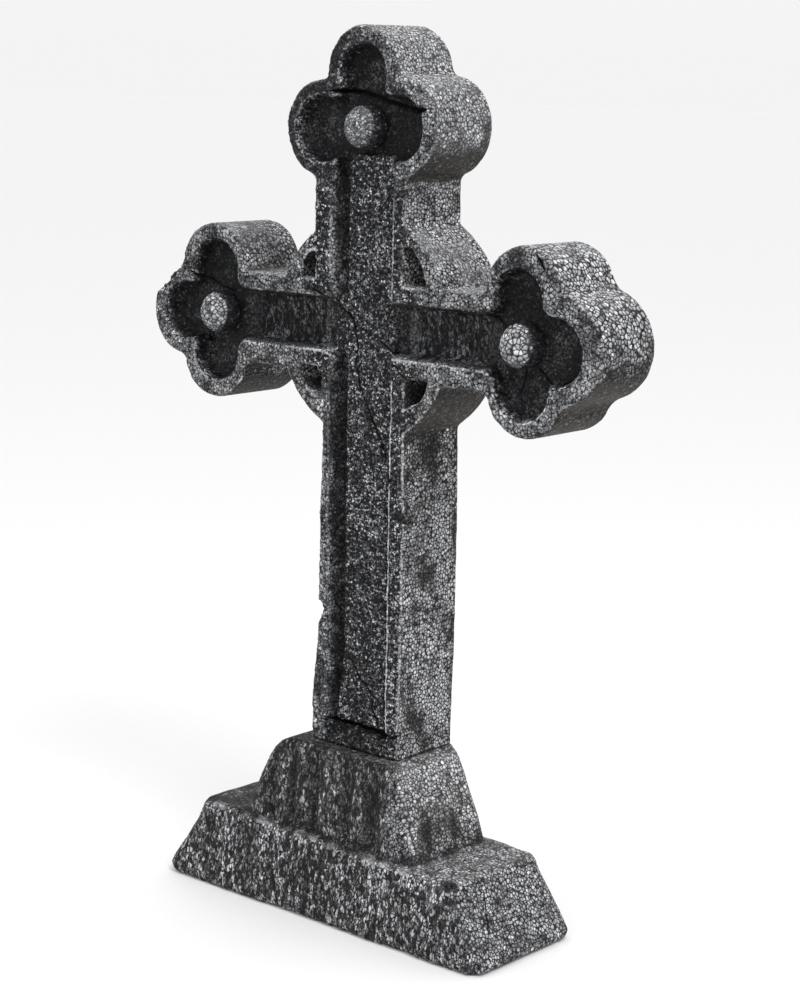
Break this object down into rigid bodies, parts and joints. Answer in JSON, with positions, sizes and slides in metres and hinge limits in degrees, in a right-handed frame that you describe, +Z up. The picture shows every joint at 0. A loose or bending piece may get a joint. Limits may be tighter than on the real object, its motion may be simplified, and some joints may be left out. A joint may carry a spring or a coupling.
{
  "type": "celtic cross gravestone decoration",
  "caption": "Ringed cross grave marker with trefoil arm ends, round bosses and a recessed face, standing on a two-step base, made of painted bead foam.",
  "frame": {"origin": "on the ground, under the middle of the marker's overall box", "axes": "+Z up, +X along the arms to the right seen from the front, -Y the way the carved face looks"},
  "size_m": [0.591, 0.158, 0.9049],
  "materials": {
    "painted_foam": "expanded bead foam, charcoal paint with pale grey dry-brushing on the beads and edges"
  },
  "bodies": {
    "root": {"cross": "painted_foam", "stepped_base": "painted_foam"}
  },
  "joints": []
}
